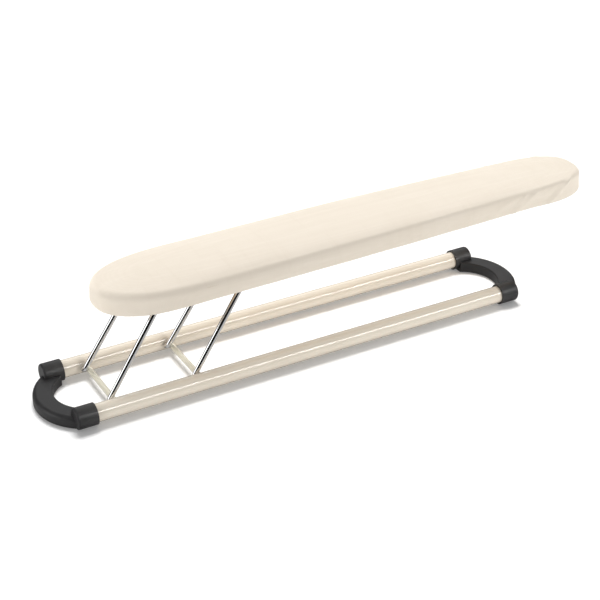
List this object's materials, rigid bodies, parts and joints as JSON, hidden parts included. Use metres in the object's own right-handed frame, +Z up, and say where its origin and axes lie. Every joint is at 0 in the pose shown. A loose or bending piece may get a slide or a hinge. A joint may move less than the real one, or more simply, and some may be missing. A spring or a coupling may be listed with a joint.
{
  "type": "table-top sleeve ironing board",
  "caption": "Narrow padded sleeve ironing board for a table top, on a tube base with folding bent-wire legs and moulded end loops.",
  "frame": {"origin": "on the table, under the middle of the whole object's length and width", "axes": "+X along the board towards its narrow nose, -Y the front, +Z up"},
  "size_m": [0.6706, 0.1178, 0.1309],
  "materials": {
    "tube_paint": "semi-gloss cream enamel",
    "end_plastic": "satin charcoal moulding",
    "pad_rubber": "matt",
    "wire_chrome": "bright plating",
    "saddle_steel": "zinc plated",
    "screw_steel": "zinc plated",
    "panel_wood": "raw board",
    "foam": "open-cell pad",
    "cotton": "plain-weave natural cotton",
    "elastic": "braided"
  },
  "bodies": {
    "base": {"front_tube": "tube_paint", "rear_tube": "tube_paint", "left_end_piece": "end_plastic", "right_end_piece": "end_plastic", "left_end_screws": "screw_steel", "right_end_screws": "screw_steel", "left_foot_pads": "pad_rubber", "right_foot_pads": "pad_rubber", "left_stop_bar": "tube_paint", "right_stop_bar": "tube_paint"},
    "left_leg": {"left_leg_wire": "wire_chrome"},
    "right_leg": {"right_leg_wire": "wire_chrome"},
    "board": {"left_front_saddle": "saddle_steel", "left_rear_saddle": "saddle_steel", "right_front_saddle": "saddle_steel", "right_rear_saddle": "saddle_steel", "left_saddle_screws": "screw_steel", "right_saddle_screws": "screw_steel", "board_panel": "panel_wood", "foam_pad": "foam", "cotton_cover": "cotton", "hem_elastic": "elastic"}
  },
  "joints": [
    {"name": "left_leg_fold", "type": "hinge", "parent": "base", "child": "left_leg", "pos_m": [-0.26876, 0, 0.0123], "axis": [0, -1, 0], "range_deg": [0, 112]},
    {"name": "right_leg_fold", "type": "hinge", "parent": "base", "child": "right_leg", "pos_m": [-0.17276, 0, 0.0123], "axis": [0, -1, 0], "range_deg": [0, 112]},
    {"name": "board_pivot", "type": "hinge", "parent": "left_leg", "child": "board", "pos_m": [-0.20686, 0, 0.1056], "axis": [0, -1, 0], "range_deg": [-112, 0]}
  ],
  "couplings": [
    {"joint": "right_leg_fold", "follows": "left_leg_fold", "ratio": 1},
    {"joint": "board_pivot", "follows": "left_leg_fold", "ratio": -1}
  ]
}
